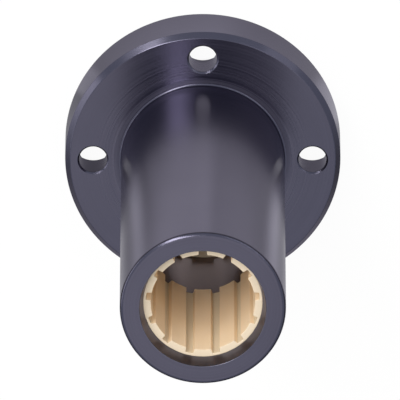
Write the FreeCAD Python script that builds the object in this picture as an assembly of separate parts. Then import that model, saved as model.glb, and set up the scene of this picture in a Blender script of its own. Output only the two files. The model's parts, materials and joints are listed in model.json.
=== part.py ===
"""Long round-flanged linear plain bearing for a 20 mm shaft.

One turned aluminium housing (round flange and long barrel in one piece) holds two
identical moulded polymer liners, one near each end of its bore.  Each liner runs on
the shaft on narrow pads with open flutes between them, is slit along one flute, and
is held in place by a raised band that snaps into a groove in the housing.

Frame: millimetres, origin at the centre of the flange's outer face, +Z along the
bore axis towards the open end of the barrel.  Screw holes lie on +X, +Y, -X and -Y.
"""
import FreeCAD, Part
import math
import os

# ---- driving dimensions (mm, degrees) ----
SHAFT_DIA = 20.0
BARREL_DIA = 32.0
OVERALL_LENGTH = 80.0
FLANGE_DIA = 54.0
FLANGE_THICKNESS = 10.0

SCREW_CIRCLE_DIA = 43.0
SCREW_COUNT = 4
SCREW_HOLE_DIA = 5.5
SCREW_HEAD_DIA = 9.0
SCREW_HEAD_DEPTH = 5.1

LINER_OUTER_DIA = 23.0
LINER_LENGTH = 28.0
LINER_RECESS = 3.0          # how far each liner sits inside its end of the bore
RUNNING_CLEARANCE = 0.025   # radial, between the pads and the shaft
PAD_COUNT = 13
PAD_ANGLE = 18.2            # width of a pad on its running face
PAD_EDGE_RADIUS = 0.15
FLUTE_FLOOR_ANGLE = 7.4     # width of a flute at its floor, narrower than at its mouth
FLUTE_WEB = 0.5             # wall left between a flute and the liner's outside
SLIT_WIDTH = 1.0
BAND_WIDTH = 3.0
BAND_HEIGHT = 0.5

BARREL_END_CHAMFER = 0.8
LEAD_IN_HEIGHT = 0.7        # taper at each bore mouth, on which a liner is pressed in
LEAD_IN_LENGTH = 2.8
FLANGE_SEAT_CHAMFER = 1.0   # on the rim, towards the barrel
FLANGE_OUTER_CHAMFER = 0.3  # on the rim, at the outer face
BARREL_ROOT_FILLET = 0.4
SCREW_HOLE_CHAMFER = 0.3

# ---- derived sizes ----
BARREL_R = BARREL_DIA / 2
FLANGE_R = FLANGE_DIA / 2
LINER_R = LINER_OUTER_DIA / 2
PAD_R = SHAFT_DIA / 2 + RUNNING_CLEARANCE
FLUTE_R = LINER_R - FLUTE_WEB
BAND_R = LINER_R + BAND_HEIGHT
PITCH = 360.0 / PAD_COUNT
REAR_LINER_START = LINER_RECESS
FRONT_LINER_START = OVERALL_LENGTH - LINER_RECESS - LINER_LENGTH
FIRST_PAD = -90.0           # one pad sits at -Y, so one flute sits at +Y
SLIT_DIRECTION = 90.0

UP = FreeCAD.Vector(0, 0, 1)
ORIGIN = FreeCAD.Vector(0, 0, 0)


def polar(radius, angle, z=0.0):
    """Point at a radius and an angle in degrees from +X, at height z."""
    turn = math.radians(angle)
    return FreeCAD.Vector(radius * math.cos(turn), radius * math.sin(turn), z)


def line(start, end):
    """Straight edge between two points."""
    return Part.LineSegment(start, end).toShape()


def arc(start, middle, end):
    """Round edge through three points."""
    return Part.Arc(start, middle, end).toShape()


def revolve(edges):
    """Solid made by turning a closed half section once round the bore axis."""
    section = Part.Face(Part.Wire(Part.__sortEdges__(edges)))
    return section.revolve(ORIGIN, UP, 360)


def half_section(corners):
    """Straight edges that close a list of (radius, z) corners."""
    points = [FreeCAD.Vector(radius, 0, z) for radius, z in corners]
    return [line(a, b) for a, b in zip(points, points[1:] + points[:1])]


def band_start(liner_start):
    """Height at which a liner's locating band begins."""
    return liner_start + (LINER_LENGTH - BAND_WIDTH) / 2


def housing_blank():
    """Flange and barrel turned as one piece, bored through, with its edges broken."""
    mouth_r = LINER_R + LEAD_IN_HEIGHT
    root = BARREL_ROOT_FILLET
    fillet_centre = FreeCAD.Vector(BARREL_R + root, 0, FLANGE_THICKNESS + root)
    fillet_start = FreeCAD.Vector(BARREL_R + root, 0, FLANGE_THICKNESS)
    fillet_end = FreeCAD.Vector(BARREL_R, 0, FLANGE_THICKNESS + root)
    towards_corner = FreeCAD.Vector(-1, 0, -1).normalize()
    fillet_middle = fillet_centre + towards_corner * root
    corners = [
        (mouth_r, 0),
        (FLANGE_R - FLANGE_OUTER_CHAMFER, 0),
        (FLANGE_R, FLANGE_OUTER_CHAMFER),
        (FLANGE_R, FLANGE_THICKNESS - FLANGE_SEAT_CHAMFER),
        (FLANGE_R - FLANGE_SEAT_CHAMFER, FLANGE_THICKNESS),
        (BARREL_R + root, FLANGE_THICKNESS),
        (BARREL_R, FLANGE_THICKNESS + root),
        (BARREL_R, OVERALL_LENGTH - BARREL_END_CHAMFER),
        (BARREL_R - BARREL_END_CHAMFER, OVERALL_LENGTH),
        (mouth_r, OVERALL_LENGTH),
        (LINER_R, OVERALL_LENGTH - LEAD_IN_LENGTH),
        (LINER_R, LEAD_IN_LENGTH),
    ]
    edges = half_section(corners)
    root_edge = corners.index((BARREL_R + root, FLANGE_THICKNESS))
    edges[root_edge] = arc(fillet_start, fillet_middle, fillet_end)
    return revolve(edges)


def band_ring(liner_start, inner_r):
    """Ring of the locating band's width and height, from inner_r outwards."""
    low = band_start(liner_start)
    high = low + BAND_WIDTH
    slope = BAND_HEIGHT     # the flanks stand at 45 degrees, so that the band snaps in
    corners = [
        (inner_r, low),
        (LINER_R, low),
        (BAND_R, low + slope),
        (BAND_R, high - slope),
        (LINER_R, high),
        (inner_r, high),
    ]
    return revolve(half_section(corners))


def screw_hole(angle):
    """Stepped hole: head recess from the outer face, clearance hole to the seat face."""
    base = polar(SCREW_CIRCLE_DIA / 2, angle)
    hole_r = SCREW_HOLE_DIA / 2
    shank = Part.makeCylinder(hole_r, FLANGE_THICKNESS, base, UP)
    head = Part.makeCylinder(SCREW_HEAD_DIA / 2, SCREW_HEAD_DEPTH, base, UP)
    mouth_base = base + UP * (FLANGE_THICKNESS - SCREW_HOLE_CHAMFER)
    mouth = Part.makeCone(hole_r, hole_r + SCREW_HOLE_CHAMFER, SCREW_HOLE_CHAMFER, mouth_base, UP)
    return shank.fuse([head, mouth])


def make_housing():
    """Turned blank with the liners' grooves and the screw holes cut into it."""
    cuts = []
    for start in (REAR_LINER_START, FRONT_LINER_START):
        cuts.append(band_ring(start, LINER_R - BAND_HEIGHT))
    for i in range(SCREW_COUNT):
        cuts.append(screw_hole(i * 360.0 / SCREW_COUNT))
    return housing_blank().cut(cuts)


def fluted_outline():
    """Closed wire round the inside of a liner: pad, flute side, flute floor, flute side."""
    half_pad = PAD_ANGLE / 2
    half_floor = FLUTE_FLOOR_ANGLE / 2
    edges = []
    for i in range(PAD_COUNT):
        pad = FIRST_PAD + i * PITCH
        flute = pad + PITCH / 2
        next_pad = pad + PITCH
        pad_end = polar(PAD_R, pad + half_pad)
        floor_start = polar(FLUTE_R, flute - half_floor)
        floor_end = polar(FLUTE_R, flute + half_floor)
        next_pad_start = polar(PAD_R, next_pad - half_pad)
        edges.append(arc(polar(PAD_R, pad - half_pad), polar(PAD_R, pad), pad_end))
        edges.append(line(pad_end, floor_start))
        edges.append(arc(floor_start, polar(FLUTE_R, flute), floor_end))
        edges.append(line(floor_end, next_pad_start))
    return Part.Wire(edges)


def pad_corner_edges(solid):
    """The straight edges along both sides of every pad's running face."""
    found = []
    for edge in solid.Edges:
        ends = [vertex.Point for vertex in edge.Vertexes]
        if len(ends) < 2 or abs(ends[0].z - ends[1].z) < LINER_LENGTH / 2:
            continue
        if math.hypot(ends[0].x, ends[0].y) < PAD_R + FLUTE_WEB / 2:
            found.append(edge)
    return found


def make_liner(start):
    """Fluted and slit liner from height start, with its locating band outside."""
    core = Part.Face(fluted_outline()).extrude(UP * LINER_LENGTH)
    sleeve = Part.makeCylinder(LINER_R, LINER_LENGTH).cut(core)
    sleeve = sleeve.makeFillet(PAD_EDGE_RADIUS, pad_corner_edges(sleeve))
    sleeve.translate(UP * start)
    liner = sleeve.fuse(band_ring(start, LINER_R - FLUTE_WEB / 2))
    slit = Part.makeBox(BAND_R, SLIT_WIDTH, LINER_LENGTH)
    slit.translate(FreeCAD.Vector(PAD_R, -SLIT_WIDTH / 2, start))
    slit.rotate(ORIGIN, UP, SLIT_DIRECTION)
    return liner.cut(slit)


def export(node, shape):
    """Write one piece as its own STEP file and print what it measures."""
    solid = shape.removeSplitter()
    if len(solid.Solids) == 1:
        solid = solid.Solids[0]
    solid.exportStep("parts/" + node + ".step")
    box = solid.BoundBox
    print(node, "valid", solid.isValid(), "solids", len(solid.Solids),
          "faces", len(solid.Faces), "volume", round(solid.Volume, 1),
          "z", round(box.ZMin, 2), round(box.ZMax, 2))


os.makedirs("parts", exist_ok=True)
export("housing", make_housing())
export("front_liner", make_liner(FRONT_LINER_START))
export("rear_liner", make_liner(REAR_LINER_START))
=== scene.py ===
"""Looks of a long round-flanged linear plain bearing: turned, hard-anodised housing and
two fluted polymer liners, on a plain pale floor under soft studio light.

Everything is in metres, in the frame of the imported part: the bearing stands on its
flange at z = 0 and its bore axis is +Z.
"""
import json
import math

import bpy
import numpy as np
from mathutils import Matrix, Vector


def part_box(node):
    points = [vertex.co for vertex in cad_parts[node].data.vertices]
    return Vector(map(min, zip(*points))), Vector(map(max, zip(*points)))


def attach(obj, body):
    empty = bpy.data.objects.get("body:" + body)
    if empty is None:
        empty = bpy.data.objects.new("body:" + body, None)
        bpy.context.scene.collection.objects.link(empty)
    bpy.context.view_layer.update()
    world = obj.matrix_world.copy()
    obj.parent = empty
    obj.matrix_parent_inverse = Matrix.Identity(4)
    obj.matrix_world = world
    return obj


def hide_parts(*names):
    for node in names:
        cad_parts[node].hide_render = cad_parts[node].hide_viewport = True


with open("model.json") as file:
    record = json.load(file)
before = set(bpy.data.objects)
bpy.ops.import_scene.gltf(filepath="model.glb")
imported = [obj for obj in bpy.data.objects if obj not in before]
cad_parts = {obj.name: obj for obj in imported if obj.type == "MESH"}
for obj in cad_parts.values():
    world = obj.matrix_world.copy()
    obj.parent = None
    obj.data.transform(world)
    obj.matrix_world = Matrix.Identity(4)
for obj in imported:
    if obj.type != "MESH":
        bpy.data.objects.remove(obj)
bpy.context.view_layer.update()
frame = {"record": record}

MM = 0.001

# ---- sizes taken from the frame ----
MOUNTS = {mount["name"]: mount for mount in frame["record"]["mounts"]}
HOUSING_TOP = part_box("housing")[1]
LENGTH = HOUSING_TOP.z
FLANGE_R = min(HOUSING_TOP.x, HOUSING_TOP.y)    # the smaller, as the CAD mesh has facets
BARREL_R = MOUNTS["barrel"]["dims"]["r_mm"] * MM
SEAT_Z = MOUNTS["flange_seat"]["pos_m"][2]
SCREW_CIRCLE_R = MOUNTS["screw_holes"]["dims"]["pcd_mm"] * MM / 2
SCREW_COUNT = MOUNTS["screw_holes"]["dims"]["count"]
SCREW_R = MOUNTS["screw_holes"]["dims"]["hole_r_mm"] * MM
PAD_R = MOUNTS["shaft_bore"]["dims"]["r_mm"] * MM
BAND_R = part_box("front_liner")[1].x

# ---- sizes of the details ----
BAND_HEIGHT = 0.5 * MM
BAND_WIDTH = 3.0 * MM
LINER_R = BAND_R - BAND_HEIGHT
FLUTE_WEB = 0.5 * MM         # wall left behind a flute
FLUTE_R = LINER_R - FLUTE_WEB
PAD_COUNT = 13
PAD_ANGLE = math.radians(18.2)
FLOOR_ANGLE = math.radians(7.4)    # of a flute
SLIT_WIDTH = 1.0 * MM
SCREW_HEAD_R = 4.5 * MM
SCREW_HEAD_DEPTH = 5.1 * MM
BARREL_END_EDGE = 0.8 * MM   # the chamfer there, worn round by blasting
LEAD_IN_HEIGHT = 0.7 * MM    # taper at each bore mouth
LEAD_IN_LENGTH = 2.8 * MM
SEAT_CHAMFER = 1.0 * MM
OUTER_CHAMFER = 0.3 * MM
HOLE_CHAMFER = 0.3 * MM
ROOT_FILLET = 0.4 * MM
EDGE_BREAK = 0.12 * MM       # the softening that blasting and anodising give every edge
SEAT_EDGE = 0.28 * MM
PAD_EDGE = 0.18 * MM
LINER_EDGE = 0.12 * MM

AROUND = 288                 # steps round the bore axis, a multiple of 8
HOLE_SIDE = 16               # steps along each radial border of a screw hole's patch
FACE_POINTS = 5              # points from a screw hole to the border of its patch
CORNER_POINTS = 5            # points on a rounded corner
PAD_POINTS = 7               # points across a pad
MERGE = 0.0005 * MM          # points that agree to this are one


# ---- surfaces ----

def unit(v):
    """Vectors scaled to length one, along the last axis."""
    return v / np.maximum(np.linalg.norm(v, axis=-1, keepdims=True), 1e-12)


def stacked(x, y, z):
    """Points or normals from their three components, spread over a common grid."""
    return np.stack(np.broadcast_arrays(x, y, z), axis=-1)


def rounded(corners, radii):
    """Points and left-hand normals of a 2-D line whose corners are rounded.

    At a corner with turn angle a, the arc of radius r starts r * tan(a / 2) before it and
    ends as far after it.  The normal turns evenly from one straight to the next.
    """
    corners = np.asarray(corners, float)
    radii = np.broadcast_to(np.asarray(radii, float), (len(corners),))
    ahead = unit(np.roll(corners, -1, axis=0) - corners)
    behind = np.roll(ahead, 1, axis=0)
    behind[0] = ahead[0]
    ahead[-1] = behind[-1]
    turn = np.arctan2(behind[:, 0] * ahead[:, 1] - behind[:, 1] * ahead[:, 0],
                      (behind * ahead).sum(axis=1))
    setback = radii * np.tan(np.abs(turn) / 2)
    share = np.linspace(0, 1, CORNER_POINTS)[None, :, None]
    first = np.arctan2(behind[:, 0], -behind[:, 1])[:, None, None]
    angle = first + turn[:, None, None] * share
    normals = np.concatenate([np.cos(angle), np.sin(angle)], axis=2)
    reach = (np.sign(turn) * radii)[:, None, None]
    arc_start = (corners - behind * setback[:, None])[:, None]
    points = arc_start + (normals[:, :1] - normals) * reach
    return points.reshape(-1, 2), normals.reshape(-1, 2)


def turned(corners, radii):
    """Grid of a rounded (radius, z) line carried round the bore axis, with its normals."""
    line, normals = rounded(corners, radii)
    angle = np.linspace(0, 2 * math.pi, AROUND + 1)[:, None]
    c, s = np.cos(angle), np.sin(angle)
    return (stacked(line[:, 0] * c, line[:, 0] * s, line[:, 1]),
            stacked(normals[:, 0] * c, normals[:, 0] * s, normals[:, 1]))


def hole_angles():
    """Directions round one screw hole that face the border of its patch, from 0 to 180 degrees.

    The outer arc takes the first 50 degrees, the radial border the next 50, and the inner
    arc the rest, so that no line from the hole to the border crosses the barrel.
    """
    half_arc = AROUND // (2 * SCREW_COUNT)
    outer = np.linspace(0, 50, half_arc + 1)
    side = np.linspace(50, 100, HOLE_SIDE + 1)[1:]
    inner = np.linspace(100, 180, half_arc + 1)[1:]
    half = np.radians(np.concatenate([outer, side, inner]))
    return np.concatenate([half, 2 * math.pi - half[-2::-1]])


def patch_border(inner_r, outer_r):
    """Border of one quarter of the flange face: outer arc, radius, inner arc, radius."""
    half_arc = AROUND // (2 * SCREW_COUNT)
    sweep = np.linspace(0, math.pi / SCREW_COUNT, half_arc + 1)
    side_r = np.linspace(outer_r, inner_r, HOLE_SIDE + 1)[1:]
    radius = np.concatenate([np.full(half_arc + 1, outer_r), side_r, np.full(half_arc, inner_r)])
    angle = np.concatenate([sweep, np.full(HOLE_SIDE, sweep[-1]), sweep[-2::-1]])
    radius = np.concatenate([radius, radius[-2::-1]])
    angle = np.concatenate([angle, -angle[-2::-1]])
    return np.stack([radius * np.cos(angle), radius * np.sin(angle)], axis=1)


def flange_face(inner_r, outer_r, hole_r, z, up):
    """Flat ring with the screw holes in it, as straight lines from each hole to its border."""
    around = hole_angles()
    rim = np.stack([SCREW_CIRCLE_R + hole_r * np.cos(around), hole_r * np.sin(around)], axis=1)
    border = patch_border(inner_r, outer_r)
    share = np.linspace(0, 1, FACE_POINTS)[None, :, None]
    flat = rim[:, None] * (1 - share) + border[:, None] * share
    grids = []
    for i in range(SCREW_COUNT):
        turn = 2 * math.pi * i / SCREW_COUNT
        x = flat[..., 0] * math.cos(turn) - flat[..., 1] * math.sin(turn)
        y = flat[..., 0] * math.sin(turn) + flat[..., 1] * math.cos(turn)
        points = stacked(x, y, z)
        grids.append((points, np.broadcast_to(np.array([0, 0, up], float), points.shape)))
    return grids


def screw_hole_walls(corners, radii):
    """The stepped wall of every screw hole, a rounded line carried round the hole's axis."""
    line, normals = rounded(corners, radii)
    around = hole_angles()[:, None]
    grids = []
    for i in range(SCREW_COUNT):
        turn = 2 * math.pi * i / SCREW_COUNT
        centre = SCREW_CIRCLE_R * np.array([math.cos(turn), math.sin(turn)])
        c, s = np.cos(around + turn), np.sin(around + turn)
        grids.append((
            stacked(centre[0] + line[:, 0] * c, centre[1] + line[:, 0] * s, line[:, 1]),
            stacked(normals[:, 0] * c, normals[:, 0] * s, normals[:, 1])))
    return grids


def grid_faces(rows, columns):
    """Corner numbers of the quads of a grid."""
    a = np.arange(rows * columns).reshape(rows, columns)
    return np.stack([a[:-1, :-1], a[1:, :-1], a[1:, 1:], a[:-1, 1:]], axis=-1).reshape(-1, 4)


def joined(name, grids, caps=()):
    """One closed mesh from grids of points and normals, their common borders merged.

    Each face is turned so that it looks along its corners' normals.  A cap is a flat face
    over a row of corners, given anticlockwise as seen from outside.
    """
    points, facing, faces, first = [], [], [], 0
    for grid, normals in grids:
        faces.append(grid_faces(*grid.shape[:2]) + first)
        points.append(grid.reshape(-1, 3))
        facing.append(normals.reshape(-1, 3))
        first += len(points[-1])
    points, facing, faces = np.concatenate(points), np.concatenate(facing), np.concatenate(faces)
    a, b, c, d = (points[faces[:, k]] for k in range(4))
    backwards = (np.cross(c - a, d - b) * facing[faces].sum(axis=1)).sum(axis=1) < 0
    faces[backwards] = faces[backwards, ::-1]
    keys = np.round(points / MERGE).astype(np.int64)
    _, kept, number = np.unique(keys, axis=0, return_index=True, return_inverse=True)
    faces = number.reshape(-1)[faces]
    polygons = []
    for face in faces.tolist():
        corners = list(dict.fromkeys(face))
        if len(corners) > 2:
            polygons.append(corners)
    for cap in caps:
        polygons.append(list(dict.fromkeys(number.reshape(-1)[cap].tolist())))
    mesh = bpy.data.meshes.new(name)
    mesh.from_pydata(points[kept].tolist(), [], polygons)
    mesh.shade_smooth()
    corner_points = np.empty(len(mesh.loops), dtype=np.int32)
    mesh.loops.foreach_get("vertex_index", corner_points)
    corner_normals = unit(facing[kept])[corner_points]
    for cap in mesh.polygons[len(polygons) - len(caps):]:
        corner_normals[list(cap.loop_indices)] = cap.normal
    mesh.normals_split_custom_set(corner_normals.tolist())
    obj = bpy.data.objects.new(name, mesh)
    bpy.context.scene.collection.objects.link(obj)
    return obj


# ---- housing ----

def groove_corners(liner):
    """Corners of the groove in the bore that holds a liner's band, from low to high."""
    low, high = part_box(liner)
    middle = (low.z + high.z) / 2
    half, depth = BAND_WIDTH / 2, BAND_R - LINER_R
    return [(LINER_R, middle - half), (BAND_R, middle - half + depth),
            (BAND_R, middle + half - depth), (LINER_R, middle + half)]


def make_housing():
    """Flange, barrel and bore as turned surfaces, with the drilled flange faces between them."""
    seat_outer = FLANGE_R - SEAT_CHAMFER - EDGE_BREAK
    seat_inner = BARREL_R + ROOT_FILLET
    face_outer = FLANGE_R - OUTER_CHAMFER - EDGE_BREAK
    mouth_r = LINER_R + LEAD_IN_HEIGHT
    face_inner = mouth_r + EDGE_BREAK
    rim = [
        (seat_outer, SEAT_Z),
        (FLANGE_R - SEAT_CHAMFER, SEAT_Z),
        (FLANGE_R, SEAT_Z - SEAT_CHAMFER),
        (FLANGE_R, OUTER_CHAMFER),
        (FLANGE_R - OUTER_CHAMFER, 0),
        (face_outer, 0),
    ]
    barrel = [
        (face_inner, 0),
        (mouth_r, 0),
        (LINER_R, LEAD_IN_LENGTH),
        *groove_corners("rear_liner"),
        *groove_corners("front_liner"),
        (LINER_R, LENGTH - LEAD_IN_LENGTH),
        (mouth_r, LENGTH),
        (BARREL_R, LENGTH),
        (BARREL_R, SEAT_Z),
        (seat_inner, SEAT_Z),
    ]
    hole = [
        (SCREW_HEAD_R + EDGE_BREAK, 0),
        (SCREW_HEAD_R, 0),
        (SCREW_HEAD_R, SCREW_HEAD_DEPTH),
        (SCREW_R, SCREW_HEAD_DEPTH),
        (SCREW_R, SEAT_Z - HOLE_CHAMFER),
        (SCREW_R + HOLE_CHAMFER, SEAT_Z),
        (SCREW_R + HOLE_CHAMFER + EDGE_BREAK, SEAT_Z),
    ]
    barrel_radii = [EDGE_BREAK] * len(barrel)
    barrel_radii[-3] = BARREL_END_EDGE
    barrel_radii[-2] = ROOT_FILLET
    rim_radii = [EDGE_BREAK] * len(rim)
    rim_radii[1] = SEAT_EDGE
    grids = [turned(rim, rim_radii), turned(barrel, barrel_radii)]
    grids += flange_face(seat_inner, seat_outer, SCREW_R + HOLE_CHAMFER + EDGE_BREAK, SEAT_Z, 1)
    grids += flange_face(face_inner, face_outer, SCREW_HEAD_R + EDGE_BREAK, 0, -1)
    grids += screw_hole_walls(hole, EDGE_BREAK)
    return joined("turned_housing", grids)


# ---- liners ----

def fluted_line():
    """Inside line of a liner with its normals, anticlockwise from one side of the slit.

    One pitch is: flute floor, flute side, pad, flute side, flute floor.  The pads' edges
    and the corners of the floors are rounded.
    """
    pitch = 2 * math.pi / PAD_COUNT
    pad = np.linspace(-PAD_ANGLE / 2, PAD_ANGLE / 2, PAD_POINTS)
    floor_edge = (pitch - FLOOR_ANGLE) / 2
    offsets = np.concatenate([[-floor_edge], pad, [floor_edge, pitch / 2]])
    radius = np.concatenate([[FLUTE_R], np.full(len(pad), PAD_R), [FLUTE_R, FLUTE_R]])
    corner = np.zeros(len(offsets))
    corner[[1, -3]] = PAD_EDGE
    corner[[0, -2]] = PAD_EDGE / 2
    centres = math.pi / 2 + pitch * (np.arange(PAD_COUNT) + 0.5)
    slit = SLIT_WIDTH / 2 / FLUTE_R
    angle = np.concatenate([[math.pi / 2 + slit], (centres[:, None] + offsets).reshape(-1)])
    angle[-1] -= slit
    radius = np.concatenate([[FLUTE_R], np.tile(radius, PAD_COUNT)])
    corner = np.concatenate([[0], np.tile(corner, PAD_COUNT)])
    corners = np.stack([radius * np.cos(angle), radius * np.sin(angle)], axis=1)
    return rounded(corners, corner)


def make_liner(node):
    """Slit and fluted sleeve: the wall's rounded section carried along the fluted line."""
    low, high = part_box(node)
    middle = (low.z + high.z) / 2
    half, depth = BAND_WIDTH / 2, BAND_R - LINER_R
    inside, inside_out = rounded(
        [(LINER_EDGE, low.z), (0, low.z), (0, high.z), (LINER_EDGE, high.z)], LINER_EDGE)
    band = [(LINER_R, middle + half), (BAND_R, middle + half - depth),
            (BAND_R, middle - half + depth), (LINER_R, middle - half)]
    outside, outside_out = rounded([(LINER_R - LINER_EDGE, high.z), (LINER_R, high.z), *band,
                                    (LINER_R, low.z), (LINER_R - LINER_EDGE, low.z)], LINER_EDGE)
    line, normals = fluted_line()
    around = np.unwrap(np.arctan2(line[:, 1], line[:, 0]))
    spoke = np.stack([np.cos(around), np.sin(around)], axis=1)
    inner_xy = line[:, None] - normals[:, None] * inside[None, :, :1]
    outer_xy = spoke[:, None] * outside[None, :, :1]
    inner_n = normals[:, None] * -inside_out[None, :, :1]
    outer_n = spoke[:, None] * outside_out[None, :, :1]
    xy = np.concatenate([inner_xy, outer_xy, inner_xy[:, :1]], axis=1)
    facing_xy = np.concatenate([inner_n, outer_n, inner_n[:, :1]], axis=1)
    z = np.concatenate([inside[:, 1], outside[:, 1], inside[:1, 1]])
    facing_z = np.concatenate([inside_out[:, 1], outside_out[:, 1], inside_out[:1, 1]])
    rows, columns = xy.shape[:2]
    points = stacked(xy[..., 0], xy[..., 1], z)
    facing = stacked(facing_xy[..., 0], facing_xy[..., 1], facing_z)
    last_end = np.arange(columns - 1) + (rows - 1) * columns
    first_end = np.arange(columns - 1)[::-1]
    return joined("fluted_" + node, [(points, facing)], caps=(first_end, last_end))


# ---- node helpers ----

def srgb(code):
    """Linear colour of a #rrggbb value."""
    value = np.array([int(code[k:k + 2], 16) for k in (1, 3, 5)]) / 255
    linear = np.where(value <= 0.04045, value / 12.92, ((value + 0.055) / 1.055) ** 2.4)
    return (*linear.tolist(), 1.0)


def add(tree, kind, inputs=None, **settings):
    """Adds a node with its settings; each input takes a value or the output linked to it."""
    made = tree.nodes.new(kind)
    for name, value in settings.items():
        setattr(made, name, value)
    for socket, value in (inputs or {}).items():
        if isinstance(value, bpy.types.NodeSocket):
            tree.links.new(value, made.inputs[socket])
        else:
            made.inputs[socket].default_value = value
    return made


def new_material(name):
    """Empty node material and its tree."""
    material = bpy.data.materials.new(name)
    material.use_nodes = True
    material.node_tree.nodes.clear()
    return material, material.node_tree


def bore_distance(tree, place):
    """Distance of a place from the bore axis: the length of its part across the axis."""
    across = add(tree, "ShaderNodeVectorMath", {0: place, 1: (1, 1, 0)}, operation="MULTIPLY")
    return add(tree, "ShaderNodeVectorMath", {0: across.outputs["Vector"]},
               operation="LENGTH").outputs["Value"]


def ramps(tree, *terms):
    """Sum of terms, each of them a product of smooth ramps.

    A term is a list of values with their spans.  A span is (start, end, low, high): the ramp
    goes smoothly from low where the value is at start to high where it is at end.
    """
    level = 0.0
    for term in terms:
        share = 1.0
        for value, (start, end, low, high) in term:
            ramp = add(tree, "ShaderNodeMapRange", {
                "Value": value, "From Min": start, "From Max": end, "To Min": low,
                "To Max": high}, interpolation_type="SMOOTHSTEP")
            share = add(tree, "ShaderNodeMath", {0: share, 1: ramp.outputs["Result"]},
                        operation="MULTIPLY").outputs["Value"]
        level = add(tree, "ShaderNodeMath", {0: level, 1: share}).outputs["Value"]
    return level


# ---- materials ----

# Hard-anodised aluminium.  Turning marks are about 0.1 mm apart, too fine to show, and are
# drawn 0.5 mm apart.  A span is (start, end, low, high), as in ramps.
MARK_SPACING = 0.5 * MM
OXIDE_CLOUD = 18 * MM               # size of the oxide's slight clouds
OXIDE_DARK, OXIDE_LIGHT = "#53505c", "#686573"
OXIDE_TINT = "#ebe9f4"              # of its gloss towards grazing angles
# The bore's wall is grey at the mouth.  Deep down it is painted lighter and browner, for warm
# light bounced from the cream liners.
MOUTH_OXIDE, DEEP_BOUNCE_TINT = "#65646f", "#7c6d66"
BORE_SPAN = (LINER_R + 0.6 * MM, LINER_R + 1.0 * MM, 1.0, 0.0)      # the bore, by radius
BOUNCE_DEPTH_SPAN = (50 * MM, 76 * MM, 1.0, 0.0)        # painted bounce light, lighter and browner with depth, by height
MOUTH_ROUGHER = (75 * MM, 77 * MM, 0.0, 0.12)
FLANGE_SPAN = (SEAT_Z + 0.2 * MM, SEAT_Z + 0.6 * MM, 1.0, 0.0)      # the flange, by height
ROOT_RING = (BARREL_R + 0.8 * MM, BARREL_R + 1.7 * MM, 0.09, 0.0)   # how much rougher
COARSE_SPAN = (BARREL_R + 2 * MM, BARREL_R + 8 * MM, 1.0, 0.1)      # its coarser marks
COARSE_ROUGHER = (0.35, 0.65, -0.06, 0.05)      # over the marks' height
COARSE_DEEPER = (0.0, 1.0, 1.0, 2.6)            # times the marks' plain depth
ROUGH_LOW, ROUGH_HIGH = 0.19, 0.27              # over the marks' height
MARK_DEPTH, MARK_STRENGTH = 0.02 * MM, 0.3


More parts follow.
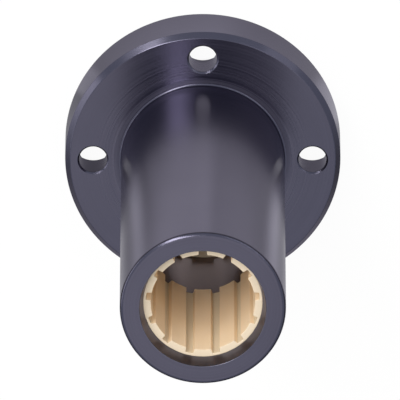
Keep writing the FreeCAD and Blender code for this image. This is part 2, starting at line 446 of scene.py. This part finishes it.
def anodised_aluminium():
    """Aluminium alloy, turned, lightly blasted and hard-anodised.

    The oxide is a dark, faintly violet grey.  Deep in the bore it is painted lighter and
    browner, which stands for warm light bounced there from the cream liners.  The oxide
    keeps the metal's mirror but dims it, and the turning marks below it spread reflections
    across the grooves, not along them.  On the flange's face the marks are coarser near the
    barrel and the ring round the barrel's root is duller, as the bore's open mouth is.
    """
    material, tree = new_material("hard_anodised_aluminium")
    place = add(tree, "ShaderNodeTexCoord").outputs["Object"]
    height = add(tree, "ShaderNodeSeparateXYZ", {"Vector": place}).outputs["Z"]
    radius = bore_distance(tree, place)
    across = add(tree, "ShaderNodeMath", {0: radius, 1: height})    # runs across every mark
    marks = add(tree, "ShaderNodeTexNoise", {
        "W": across.outputs["Value"], "Scale": 1 / MARK_SPACING, "Detail": 3.0,
        "Roughness": 0.6}, noise_dimensions="1D").outputs["Fac"]
    clouds = add(tree, "ShaderNodeTexNoise", {"Vector": place, "Scale": 1 / OXIDE_CLOUD,
                                              "Detail": 2.0}).outputs["Fac"]
    both = add(tree, "ShaderNodeMath", {0: clouds, 1: marks}).outputs["Value"]
    half = add(tree, "ShaderNodeMath", {0: both, 1: 0.5}, operation="MULTIPLY")
    oxide = add(tree, "ShaderNodeMixRGB", {"Fac": half.outputs["Value"],
                                           "Color1": srgb(OXIDE_DARK),
                                           "Color2": srgb(OXIDE_LIGHT)})
    # Painted light: the bore's wall turns lighter and browner with depth, for warm light bounced
    # from the liners.
    wall = add(tree, "ShaderNodeMixRGB", {"Fac": ramps(tree, [(height, BOUNCE_DEPTH_SPAN)]),
                                          "Color1": srgb(MOUTH_OXIDE),
                                          "Color2": srgb(DEEP_BOUNCE_TINT)})
    colour = add(tree, "ShaderNodeMixRGB", {"Fac": ramps(tree, [(radius, BORE_SPAN)]),
                                            "Color1": oxide.outputs["Color"],
                                            "Color2": wall.outputs["Color"]})
    fine = add(tree, "ShaderNodeMapRange", {"Value": marks, "To Min": ROUGH_LOW,
                                            "To Max": ROUGH_HIGH})
    rougher = ramps(
        tree,
        [(height, FLANGE_SPAN), (radius, COARSE_SPAN), (marks, COARSE_ROUGHER)],
        [(height, FLANGE_SPAN), (radius, ROOT_RING)],
        [(radius, BORE_SPAN), (height, MOUTH_ROUGHER)])
    rough = add(tree, "ShaderNodeMath", {0: fine.outputs["Result"], 1: rougher})
    coarse = ramps(tree, [(height, FLANGE_SPAN), (radius, COARSE_SPAN)])
    depth = add(tree, "ShaderNodeMath", {0: marks, 1: ramps(tree, [(coarse, COARSE_DEEPER)])},
                operation="MULTIPLY")
    bump = add(tree, "ShaderNodeBump", {"Height": depth.outputs["Value"],
                                        "Strength": MARK_STRENGTH, "Distance": MARK_DEPTH})
    along = add(tree, "ShaderNodeTangent", direction_type="RADIAL", axis="Z")
    shader = add(tree, "ShaderNodeBsdfPrincipled", {
        "Base Color": colour.outputs["Color"], "Metallic": 1.0,
        "Roughness": rough.outputs["Value"], "Specular Tint": srgb(OXIDE_TINT),
        "Anisotropic": 0.5, "Anisotropic Rotation": 0.25,
        "Normal": bump.outputs["Normal"], "Tangent": along.outputs["Tangent"]})
    add(tree, "ShaderNodeOutputMaterial", {"Surface": shader.outputs["BSDF"]})
    return material


# Moulded bearing polymer.
POLYMER_CLOUD = 4 * MM              # size of the colour's slight clouds
POLYMER_GRAIN = 0.4 * MM            # size of the moulded skin's grain
POLYMER_DARK, POLYMER_LIGHT = "#f4d9b2", "#f7dfbf"
WEB_POLYMER = "#dccfb4"             # the thin web behind a flute, a little greyer
END_SHADE_POLYMER = "#d8c7ad"             # end faces that look up, painted darker and greyer as shade against the strong light from above
WEB_SPAN = (FLUTE_R - 0.3 * MM, FLUTE_R - 0.05 * MM, 0.0, 0.8)
END_SHADE_SPAN = (0.3, 0.8, 0.0, 1.0)     # over how far a face looks up
GRAIN_DEPTH, GRAIN_STRENGTH = 0.01 * MM, 0.1


def liner_polymer():
    """Injection-moulded bearing polymer, cream, with a fine satin skin and no gloss coat."""
    material, tree = new_material("moulded_bearing_polymer")
    place = add(tree, "ShaderNodeTexCoord").outputs["Object"]
    radius = bore_distance(tree, place)
    normal = add(tree, "ShaderNodeNewGeometry").outputs["Normal"]
    facing_up = add(tree, "ShaderNodeSeparateXYZ", {"Vector": normal}).outputs["Z"]
    clouds = add(tree, "ShaderNodeTexNoise", {"Vector": place, "Scale": 1 / POLYMER_CLOUD,
                                              "Detail": 3.0})
    cream = add(tree, "ShaderNodeMixRGB", {"Fac": clouds.outputs["Fac"],
                                           "Color1": srgb(POLYMER_DARK),
                                           "Color2": srgb(POLYMER_LIGHT)})
    inside = add(tree, "ShaderNodeMixRGB", {"Fac": ramps(tree, [(radius, WEB_SPAN)]),
                                            "Color1": cream.outputs["Color"],
                                            "Color2": srgb(WEB_POLYMER)})
    # Painted shade: faces that look up are darker and greyer, offsetting the strong light from
    # above.
    colour = add(tree, "ShaderNodeMixRGB", {"Fac": ramps(tree, [(facing_up, END_SHADE_SPAN)]),
                                            "Color1": inside.outputs["Color"],
                                            "Color2": srgb(END_SHADE_POLYMER)})
    grain = add(tree, "ShaderNodeTexNoise", {"Vector": place, "Scale": 1 / POLYMER_GRAIN,
                                             "Detail": 2.0})
    bump = add(tree, "ShaderNodeBump", {"Height": grain.outputs["Fac"],
                                        "Strength": GRAIN_STRENGTH, "Distance": GRAIN_DEPTH})
    shader = add(tree, "ShaderNodeBsdfPrincipled", {
        "Base Color": colour.outputs["Color"], "Roughness": 0.42,
        "Normal": bump.outputs["Normal"]})
    add(tree, "ShaderNodeOutputMaterial", {"Surface": shader.outputs["BSDF"]})
    return material


# ---- camera ----

CAMERA_TILT = math.radians(24.3)    # between the view and the bore axis
CAMERA_DISTANCE = 3.332
CAMERA_LENS = 1530.0                # mm on a 36 mm sensor: almost no perspective
AIM_LEFT = 0.55 * MM                # of the seat face's centre, across the view
AIM_DOWN = 7.85 * MM


def make_camera():
    """Long lens above the open end of the barrel, turned so that the flange is at the top."""
    right = Vector((1, 0, 0))
    up = Vector((0, math.cos(CAMERA_TILT), -math.sin(CAMERA_TILT)))
    back = right.cross(up)
    aim = Vector((0, 0, SEAT_Z)) - right * AIM_LEFT - up * AIM_DOWN
    data = bpy.data.cameras.new("camera")
    data.lens = CAMERA_LENS
    data.sensor_width = 36.0
    data.clip_start, data.clip_end = 0.1, 20.0
    camera = bpy.data.objects.new("camera", data)
    place = aim + back * CAMERA_DISTANCE
    camera.matrix_world = Matrix((
        (right.x, up.x, back.x, place.x),
        (right.y, up.y, back.y, place.y),
        (right.z, up.z, back.z, place.z),
        (0, 0, 0, 1)))
    bpy.context.scene.collection.objects.link(camera)
    bpy.context.scene.camera = camera


# ---- floor ----

FLOOR_HALF = 3.0
FLOOR_DROP = 0.01 * MM              # a hair under the flange, so that the two faces don't mix
CARD_COLOUR = "#f0f0f0"
GLOW_SHARE = 0.95                   # of the card, to the eye and in gloss; the rest is lit

# Spans of the card's painted glow, as gloss sees it, by place.  Sideways is X.  Rise, fall and
# towards are over how much a place's direction from the bore axis agrees with the card's
# own axis, from -1 to 1.
CARD_TURN = math.radians(5.5)                   # of the card's axis, from +Y towards +X
BASE_SIDEWAYS = (-26 * MM, 26 * MM, 0.38, 0.51)
LAMP_SIDE_Y = (9 * MM, 38 * MM, 0.0, 1.0)
LAMP_SIDE_SIDEWAYS = (2 * MM, 14 * MM, 0.63, 0.34)
BAND_RISE = (-0.30, -0.06, 0.0, 0.52)
BAND_FALL = (0.0, 0.28, 1.0, 0.0)
BAND_FROM = (29 * MM, 33 * MM, 0.0, 1.0)
BEHIND_TOWARDS = (-0.70, -0.40, 1.0, 0.0)
BEHIND_SIDEWAYS = (-24 * MM, 24 * MM, 0.27, 0.26)
RIGHT_PATCH_RISE = (0.16, 0.30, 0.0, 0.36)
RIGHT_PATCH_FALL = (0.50, 0.64, 1.0, 0.0)
RIGHT_SIDE = (0, 4 * MM, 0.0, 1.0)
LEFT_PATCH_RISE = (0.26, 0.33, 0.0, 0.26)
LEFT_PATCH_FALL = (0.46, 0.54, 1.0, 0.0)
LEFT_SIDE = (-4 * MM, 0, 1.0, 0.0)
PATCH_UP_TO = (30.5 * MM, 33 * MM, 1.0, 0.0)
FAR_OFF = (90 * MM, 240 * MM, 1.0, 0.08)


def seen_as_background(tree):
    """One for rays from the camera and for rays off gloss or through glass, else zero."""
    path = add(tree, "ShaderNodeLightPath")
    seen = path.outputs["Is Camera Ray"]
    for name in ("Is Glossy Ray", "Is Transmission Ray"):
        seen = add(tree, "ShaderNodeMath", {0: seen, 1: path.outputs[name]}, operation="ADD",
                   use_clamp=True).outputs["Value"]
    return seen


def graded_card(tree):
    """Painted light: how bright gloss sees the card's glow, by place.  It is light on the
    lamp's side, with a narrow lit band and a lit patch beside the flange's rim on each side,
    more light behind the part, a little more on its right and darkness far off."""
    place = add(tree, "ShaderNodeTexCoord").outputs["Object"]
    axes = add(tree, "ShaderNodeSeparateXYZ", {"Vector": place}).outputs
    x, y = axes["X"], axes["Y"]
    direction = add(tree, "ShaderNodeVectorMath", {0: place}, operation="NORMALIZE")
    towards = add(tree, "ShaderNodeVectorMath", {
        0: direction.outputs["Vector"], 1: (math.sin(CARD_TURN), math.cos(CARD_TURN), 0)},
        operation="DOT_PRODUCT").outputs["Value"]
    distance = add(tree, "ShaderNodeVectorMath", {0: place},
                   operation="LENGTH").outputs["Value"]
    level = ramps(
        tree,
        [(x, BASE_SIDEWAYS)],
        [(y, LAMP_SIDE_Y), (x, LAMP_SIDE_SIDEWAYS)],
        [(towards, BAND_RISE), (towards, BAND_FALL), (distance, BAND_FROM)],
        [(towards, BEHIND_TOWARDS), (x, BEHIND_SIDEWAYS)],
        [(towards, RIGHT_PATCH_RISE), (towards, RIGHT_PATCH_FALL), (x, RIGHT_SIDE),
         (distance, PATCH_UP_TO)],
        [(towards, LEFT_PATCH_RISE), (towards, LEFT_PATCH_FALL), (x, LEFT_SIDE),
         (distance, PATCH_UP_TO)])
    return add(tree, "ShaderNodeMath", {0: level, 1: ramps(tree, [(distance, FAR_OFF)])},
               operation="MULTIPLY").outputs["Value"]


def white_card():
    """Matt white card.  To the eye it mostly glows, so that it stays white, and is lit for the
    rest, which keeps the part's soft shadow.  Gloss sees it as bright as graded_card says,
    which is darker than white in most places.  From below it is clear."""
    material, tree = new_material("white_card")
    gloss_ray = add(tree, "ShaderNodeLightPath").outputs["Is Glossy Ray"]
    level = add(tree, "ShaderNodeMix", {"Factor": gloss_ray, "A": 1.0, "B": graded_card(tree)})
    card = add(tree, "ShaderNodeBsdfDiffuse", {"Color": srgb(CARD_COLOUR)})
    glow = add(tree, "ShaderNodeEmission", {"Color": srgb("#ffffff"),
                                            "Strength": level.outputs["Result"]})
    share = add(tree, "ShaderNodeMath", {0: seen_as_background(tree), 1: GLOW_SHARE},
                operation="MULTIPLY")
    above = add(tree, "ShaderNodeMixShader", {0: share.outputs["Value"],
                                              1: card.outputs["BSDF"],
                                              2: glow.outputs["Emission"]})
    below = add(tree, "ShaderNodeBsdfTransparent")
    underside = add(tree, "ShaderNodeNewGeometry").outputs["Backfacing"]
    sided = add(tree, "ShaderNodeMixShader", {0: underside, 1: above.outputs["Shader"],
                                              2: below.outputs["BSDF"]})
    add(tree, "ShaderNodeOutputMaterial", {"Surface": sided.outputs["Shader"]})
    return material


def make_floor():
    """Large square card under the bearing."""
    mesh = bpy.data.meshes.new("floor")
    half, z = FLOOR_HALF, -FLOOR_DROP
    mesh.from_pydata([(-half, -half, z), (half, -half, z), (half, half, z), (-half, half, z)],
                     [], [(0, 1, 2, 3)])
    mesh.materials.append(white_card())
    floor = bpy.data.objects.new("floor", mesh)
    bpy.context.scene.collection.objects.link(floor)


# ---- room and lamps ----

# Directions in the room, each with the span of the room's light over how much a ray agrees
# with it.  Gloss sees the first, and matt faces are lit by the second.
LIT_SIDE, LIT_SIDE_LEVEL = (-0.15, 0.5, 0.8), (-0.35, -0.05, 0.08, 0.6)
ROOM_TOP, ROOM_TOP_LEVEL = (-0.22, 0.5, 0.84), (0.6, 1.0, 0.42, 2.1)
ROOM_IN_GLOSS = (0.88, 0.97, 1.12, 1)           # faintly blue

WHITE, WARM = (1, 1, 1), (1.06, 0.98, 0.88)

# name, azimuth, elevation (degrees), distance, width, height (metres), radiance, colour
LAMPS = [
    ("strip_softbox", 123.5, 50, 1.2, 0.27, 1.15, 7.0, WHITE),
    ("side_panel", 180, 15, 1.2, 0.9, 0.3, 1.7, WHITE),
    ("low_panel", 127, 21, 1.2, 0.5, 0.2, 0.9, WHITE),
    ("right_panel", 40, 18, 1.2, 0.45, 0.3, 0.5, WHITE),
    ("right_strip", 40, 38, 1.2, 0.9, 0.1, 2.5, WHITE),
    ("overhead_softbox", 300, 80, 0.5, 0.6, 0.25, 0.42, WARM),
]


def make_world():
    """Soft white room that darkens low down on the side away from the lamps."""
    world = bpy.data.worlds.new("studio")
    bpy.context.scene.world = world
    world.use_nodes = True
    tree = world.node_tree
    tree.nodes.clear()
    towards = add(tree, "ShaderNodeTexCoord").outputs["Generated"]
    levels = []
    for direction, span in ((ROOM_TOP, ROOM_TOP_LEVEL), (LIT_SIDE, LIT_SIDE_LEVEL)):
        along = add(tree, "ShaderNodeVectorMath", {0: towards, 1: direction},
                    operation="DOT_PRODUCT").outputs["Value"]
        levels.append(ramps(tree, [(along, span)]))
    ray = add(tree, "ShaderNodeLightPath").outputs
    light = add(tree, "ShaderNodeMix", {"Factor": ray["Is Glossy Ray"], "A": levels[0],
                                        "B": levels[1]})
    seen = add(tree, "ShaderNodeMix", {"Factor": ray["Is Camera Ray"],
                                       "A": light.outputs["Result"], "B": 1.0})
    tint = add(tree, "ShaderNodeMixRGB", {"Fac": ray["Is Glossy Ray"],
                                          "Color1": srgb("#ffffff"),
                                          "Color2": ROOM_IN_GLOSS})
    glow = add(tree, "ShaderNodeBackground", {"Color": tint.outputs["Color"],
                                              "Strength": seen.outputs["Result"]})
    add(tree, "ShaderNodeOutputWorld", {"Surface": glow.outputs["Background"]})


def softbox(name, azimuth, elevation, distance, width, height, radiance, colour):
    """Rectangular lamp facing the part; its power follows from the radiance of its face."""
    a, e = math.radians(azimuth), math.radians(elevation)
    back = Vector((math.cos(a) * math.cos(e), math.sin(a) * math.cos(e), math.sin(e)))
    data = bpy.data.lights.new(name, "AREA")
    data.shape = "RECTANGLE"
    data.size, data.size_y = width, height
    data.color = colour
    data.energy = radiance * math.pi * width * height
    lamp = bpy.data.objects.new(name, data)
    lamp.location = Vector((0, 0, LENGTH / 2)) + back * distance
    lamp.rotation_euler = back.to_track_quat("Z", "Y").to_euler()
    lamp.visible_camera = False
    bpy.context.scene.collection.objects.link(lamp)


# ---- assembly ----

anodised = anodised_aluminium()
polymer = liner_polymer()

housing = make_housing()
housing.data.materials.append(anodised)
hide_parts("housing")
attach(housing, "root")

for node in ("front_liner", "rear_liner"):
    liner = make_liner(node)
    liner.data.materials.append(polymer)
    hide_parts(node)
    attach(liner, "root")

make_camera()
make_floor()
make_world()
for lamp_row in LAMPS:
    softbox(*lamp_row)
bpy.context.scene.view_settings.view_transform = "Standard"
